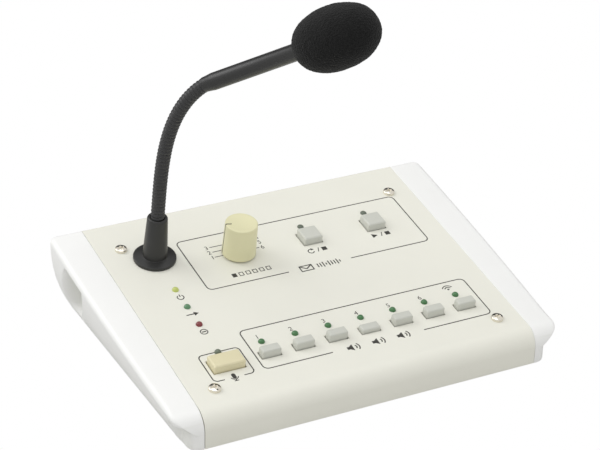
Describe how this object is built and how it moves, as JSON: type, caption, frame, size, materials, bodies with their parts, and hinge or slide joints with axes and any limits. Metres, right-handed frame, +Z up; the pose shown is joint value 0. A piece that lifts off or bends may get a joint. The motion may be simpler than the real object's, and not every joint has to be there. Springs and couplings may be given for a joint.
{
  "type": "paging microphone",
  "caption": "Desktop paging microphone: sloping desk station with zone buttons, selector knob, lamps and a bendable gooseneck that carries a foam-covered capsule.",
  "frame": {"origin": "on the table under the middle of the case, at the bottom centre of the bounding box", "axes": "+X to the user's right, -Y towards the user, +Z up"},
  "size_m": [0.205, 0.1436, 0.1853],
  "materials": {
    "base_tray": "satin paint",
    "top_cover": "fine satin paint",
    "left_cheek": "fine grained",
    "right_cheek": "fine grained",
    "rubber_feet": "matte",
    "cover_pillars": "turned",
    "cover_screws": "bright",
    "cheek_screws": "plain",
    "control_board": "lacquered",
    "board_spacers": "turned",
    "board_screws": "plain",
    "board_parts": "moulded",
    "zone_switches": "moulded",
    "message_switches": "moulded",
    "talk_switch": "moulded",
    "power_led": "diffused",
    "send_led": "diffused",
    "busy_led": "diffused",
    "zone_leds": "diffused",
    "message_leds": "diffused",
    "talk_led": "diffused",
    "led_spacers": "moulded",
    "selector_switch": "moulded",
    "selector_nut": "plain",
    "line_board": "lacquered",
    "line_board_spacers": "turned",
    "line_socket": "moulded",
    "mic_collar": "satin black",
    "collar_washer": "plain",
    "collar_nut": "plain",
    "mic_lead": "matte",
    "link_cable": "matte",
    "gooseneck_root": "satin black, wound",
    "gooseneck_link_1": "satin black, wound",
    "gooseneck_link_2": "satin black, wound",
    "gooseneck_link_3": "satin black, wound",
    "gooseneck_link_4": "satin black, wound",
    "gooseneck_link_5": "satin black, wound",
    "gooseneck_link_6": "satin black, wound",
    "gooseneck_link_7": "satin black, wound",
    "gooseneck_link_8": "satin black, wound",
    "mic_stem": "satin black",
    "capsule_boot": "matte",
    "mic_capsule": "drawn",
    "capsule_grille": "punched",
    "windscreen": "open-cell foam",
    "selector_shaft": "turned",
    "selector_knob": "satin",
    "talk_button": "satin",
    "repeat_button": "satin",
    "start_button": "satin",
    "zone_button_1": "satin",
    "zone_button_2": "satin",
    "zone_button_3": "satin",
    "zone_button_4": "satin",
    "zone_button_5": "satin",
    "zone_button_6": "satin",
    "all_call_button": "satin"
  },
  "bodies": {
    "case": {"base_tray": "base_tray", "top_cover": "top_cover", "left_cheek": "left_cheek", "right_cheek": "right_cheek", "rubber_feet": "rubber_feet", "cover_pillars": "cover_pillars", "cover_screws": "cover_screws", "cheek_screws": "cheek_screws", "control_board": "control_board", "board_spacers": "board_spacers", "board_screws": "board_screws", "board_parts": "board_parts", "zone_switches": "zone_switches", "message_switches": "message_switches", "talk_switch": "talk_switch", "power_led": "power_led", "send_led": "send_led", "busy_led": "busy_led", "zone_leds": "zone_leds", "message_leds": "message_leds", "talk_led": "talk_led", "led_spacers": "led_spacers", "selector_switch": "selector_switch", "selector_nut": "selector_nut", "line_board": "line_board", "line_board_spacers": "line_board_spacers", "line_socket": "line_socket", "mic_collar": "mic_collar", "collar_washer": "collar_washer", "collar_nut": "collar_nut", "mic_lead": "mic_lead", "link_cable": "link_cable", "gooseneck_root": "gooseneck_root"},
    "neck_1": {"gooseneck_link_1": "gooseneck_link_1"},
    "neck_2": {"gooseneck_link_2": "gooseneck_link_2"},
    "neck_3": {"gooseneck_link_3": "gooseneck_link_3"},
    "neck_4": {"gooseneck_link_4": "gooseneck_link_4"},
    "neck_5": {"gooseneck_link_5": "gooseneck_link_5"},
    "neck_6": {"gooseneck_link_6": "gooseneck_link_6"},
    "neck_7": {"gooseneck_link_7": "gooseneck_link_7"},
    "neck_8": {"gooseneck_link_8": "gooseneck_link_8"},
    "mic_head": {"mic_stem": "mic_stem", "capsule_boot": "capsule_boot", "mic_capsule": "mic_capsule", "capsule_grille": "capsule_grille", "windscreen": "windscreen"},
    "selector": {"selector_shaft": "selector_shaft", "selector_knob": "selector_knob"},
    "talk_button_body": {"talk_button": "talk_button"},
    "repeat_button_body": {"repeat_button": "repeat_button"},
    "start_button_body": {"start_button": "start_button"},
    "all_call_button_body": {"all_call_button": "all_call_button"},
    "zone_1_button_body": {"zone_button_1": "zone_button_1"},
    "zone_2_button_body": {"zone_button_2": "zone_button_2"},
    "zone_3_button_body": {"zone_button_3": "zone_button_3"},
    "zone_4_button_body": {"zone_button_4": "zone_button_4"},
    "zone_5_button_body": {"zone_button_5": "zone_button_5"},
    "zone_6_button_body": {"zone_button_6": "zone_button_6"}
  },
  "joints": [
    {"name": "neck_bend_1", "type": "hinge", "parent": "case", "child": "neck_1", "pos_m": [-0.0609, 0.03498, 0.06264], "axis": [0.682, 0.7215, 0.1194], "range_deg": [-12, 8]},
    {"name": "neck_sway_2", "type": "hinge", "parent": "neck_1", "child": "neck_2", "pos_m": [-0.06089, 0.03332, 0.0726], "axis": [0.7313, -0.6714, -0.1201], "range_deg": [-10, 10]},
    {"name": "neck_bend_3", "type": "hinge", "parent": "neck_2", "child": "neck_3", "pos_m": [-0.06077, 0.03156, 0.08254], "axis": [0.682, 0.7215, 0.1194], "range_deg": [-12, 8]},
    {"name": "neck_sway_4", "type": "hinge", "parent": "neck_3", "child": "neck_4", "pos_m": [-0.0604, 0.02958, 0.09244], "axis": [0.7291, -0.6578, -0.189], "range_deg": [-10, 10]},
    {"name": "neck_bend_5", "type": "hinge", "parent": "neck_4", "child": "neck_5", "pos_m": [-0.0596, 0.0272, 0.10222], "axis": [0.682, 0.7215, 0.1194], "range_deg": [-12, 8]},
    {"name": "neck_sway_6", "type": "hinge", "parent": "neck_5", "child": "neck_6", "pos_m": [-0.05816, 0.02425, 0.11178], "axis": [0.7073, -0.6092, -0.3586], "range_deg": [-10, 10]},
    {"name": "neck_bend_7", "type": "hinge", "parent": "neck_6", "child": "neck_7", "pos_m": [-0.05585, 0.02057, 0.12089], "axis": [0.682, 0.7215, 0.1194], "range_deg": [-12, 8]},
    {"name": "neck_sway_8", "type": "hinge", "parent": "neck_7", "child": "neck_8", "pos_m": [-0.05248, 0.01599, 0.12924], "axis": [0.6145, -0.4767, -0.6286], "range_deg": [-10, 10]},
    {"name": "neck_bend_9", "type": "hinge", "parent": "neck_8", "child": "mic_head", "pos_m": [-0.04788, 0.01047, 0.13634], "axis": [0.682, 0.7215, 0.1194], "range_deg": [-12, 8]},
    {"name": "selector_turn", "type": "hinge", "parent": "case", "child": "selector", "pos_m": [-0.0209, 0.03002, 0.03445], "axis": [0, 0.1633, -0.9866], "range_deg": [0, 150]},
    {"name": "talk_press", "type": "slide", "parent": "case", "child": "talk_button_body", "axis": [0, 0.1633, -0.9866], "range_m": [0, 0.0015], "stiffness_N_per_m": 400},
    {"name": "repeat_press", "type": "slide", "parent": "case", "child": "repeat_button_body", "axis": [0, 0.1633, -0.9866], "range_m": [0, 0.0015], "stiffness_N_per_m": 400},
    {"name": "start_press", "type": "slide", "parent": "case", "child": "start_button_body", "axis": [0, 0.1633, -0.9866], "range_m": [0, 0.0015], "stiffness_N_per_m": 400},
    {"name": "zone_1_press", "type": "slide", "parent": "case", "child": "zone_1_button_body", "axis": [0, 0.1633, -0.9866], "range_m": [0, 0.0017]},
    {"name": "zone_2_press", "type": "slide", "parent": "case", "child": "zone_2_button_body", "axis": [0, 0.1633, -0.9866], "range_m": [0, 0.0017]},
    {"name": "zone_3_press", "type": "slide", "parent": "case", "child": "zone_3_button_body", "axis": [0, 0.1633, -0.9866], "range_m": [0, 0.0017]},
    {"name": "zone_4_press", "type": "slide", "parent": "case", "child": "zone_4_button_body", "axis": [0, 0.1633, -0.9866], "range_m": [-0.0017, 0]},
    {"name": "zone_5_press", "type": "slide", "parent": "case", "child": "zone_5_button_body", "axis": [0, 0.1633, -0.9866], "range_m": [0, 0.0017]},
    {"name": "zone_6_press", "type": "slide", "parent": "case", "child": "zone_6_button_body", "axis": [0, 0.1633, -0.9866], "range_m": [0, 0.0017]},
    {"name": "all_call_press", "type": "slide", "parent": "case", "child": "all_call_button_body", "axis": [0, 0.1633, -0.9866], "range_m": [0, 0.0017]}
  ]
}
